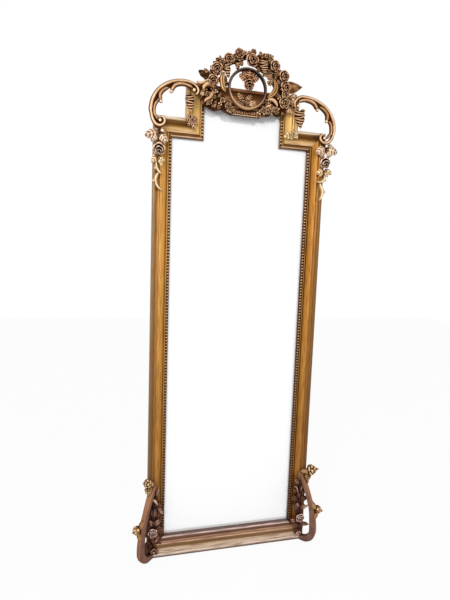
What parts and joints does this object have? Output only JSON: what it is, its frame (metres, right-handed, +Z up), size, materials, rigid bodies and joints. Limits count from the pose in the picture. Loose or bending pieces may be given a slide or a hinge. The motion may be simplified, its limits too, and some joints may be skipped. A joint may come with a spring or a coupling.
{
  "type": "pier mirror",
  "caption": "Tall stepped gilt pier mirror with a pierced carved crest, open ear scrolls over its shoulders, bead edging and carved console feet.",
  "frame": {"origin": "on the floor, at the middle of the bottom rail's back lower edge", "axes": "+Z up, +X to the viewer's right, -Y out of the mirror's front; the back of the frame is the plane Y = 0"},
  "size_m": [0.766, 0.107, 1.8918],
  "materials": {
    "moulding_gilt": "satin, rubbed gold leaf over brown",
    "bead_gilt": "satin, bright gold on the beads with dark gaps",
    "crest_gilt": "satin, copper-brown gilding with light high points",
    "rose_gilt": "satin, rose-gold gilding with dark recesses",
    "pale_gilt": "satin, pale worn gilding",
    "dark_gilt": "satin, dark purple-brown gilding",
    "foot_gilt": "satin, grey-pink gilding with dark recesses",
    "silvered_glass": "silvered plate glass",
    "back_board": "bare hardboard",
    "spline_wood": "bare hardwood",
    "zinc_steel": "zinc plated",
    "brass": "brass plated",
    "bumper_rubber": "matt black"
  },
  "bodies": {
    "mirror": {"left_stile": "moulding_gilt", "right_stile": "moulding_gilt", "bottom_rail": "moulding_gilt", "left_shoulder_rail": "moulding_gilt", "right_shoulder_rail": "moulding_gilt", "left_upper_stile": "moulding_gilt", "right_upper_stile": "moulding_gilt", "top_rail": "moulding_gilt", "corner_splines": "spline_wood", "left_beads": "bead_gilt", "right_beads": "bead_gilt", "left_upper_beads": "bead_gilt", "right_upper_beads": "bead_gilt", "mirror_plate": "silvered_glass", "backing_board": "back_board", "board_clips": "zinc_steel", "clip_screws": "zinc_steel", "left_hanger_strap": "brass", "right_hanger_strap": "brass", "hanger_screws": "brass", "wall_bumpers": "bumper_rubber", "crest_apron": "crest_gilt", "left_garland": "crest_gilt", "right_garland": "crest_gilt", "crest_ring": "crest_gilt", "ring_drop": "crest_gilt", "ring_flower": "crest_gilt", "left_branch": "crest_gilt", "right_branch": "crest_gilt", "left_crest_roses": "crest_gilt", "right_crest_roses": "crest_gilt", "crest_rose": "crest_gilt", "left_crest_leaves": "crest_gilt", "right_crest_leaves": "crest_gilt", "left_crest_strap": "crest_gilt", "right_crest_strap": "crest_gilt", "left_ear_scroll": "rose_gilt", "right_ear_scroll": "rose_gilt", "left_bud_drop": "rose_gilt", "right_bud_drop": "rose_gilt", "left_corner_spray": "rose_gilt", "right_corner_spray": "rose_gilt", "left_shoulder_leaves": "pale_gilt", "right_shoulder_leaves": "pale_gilt", "left_shoulder_rose": "pale_gilt", "right_shoulder_rose": "pale_gilt", "left_tail": "pale_gilt", "right_tail": "pale_gilt", "left_console": "dark_gilt", "right_console": "dark_gilt", "left_console_buds": "foot_gilt", "right_console_buds": "foot_gilt", "left_foot_rose": "foot_gilt", "right_foot_rose": "foot_gilt", "left_foot_leaves": "foot_gilt", "right_foot_leaves": "foot_gilt"},
    "left_ring": {"left_hanger_ring": "brass"},
    "right_ring": {"right_hanger_ring": "brass"}
  },
  "joints": [
    {"name": "left_ring_swing", "type": "hinge", "parent": "mirror", "child": "left_ring", "pos_m": [-0.292, 0.00308, 1.4], "axis": [1, 0, 0], "range_deg": [0, 180]},
    {"name": "right_ring_swing", "type": "hinge", "parent": "mirror", "child": "right_ring", "pos_m": [0.292, 0.00308, 1.4], "axis": [1, 0, 0], "range_deg": [0, 180]}
  ]
}
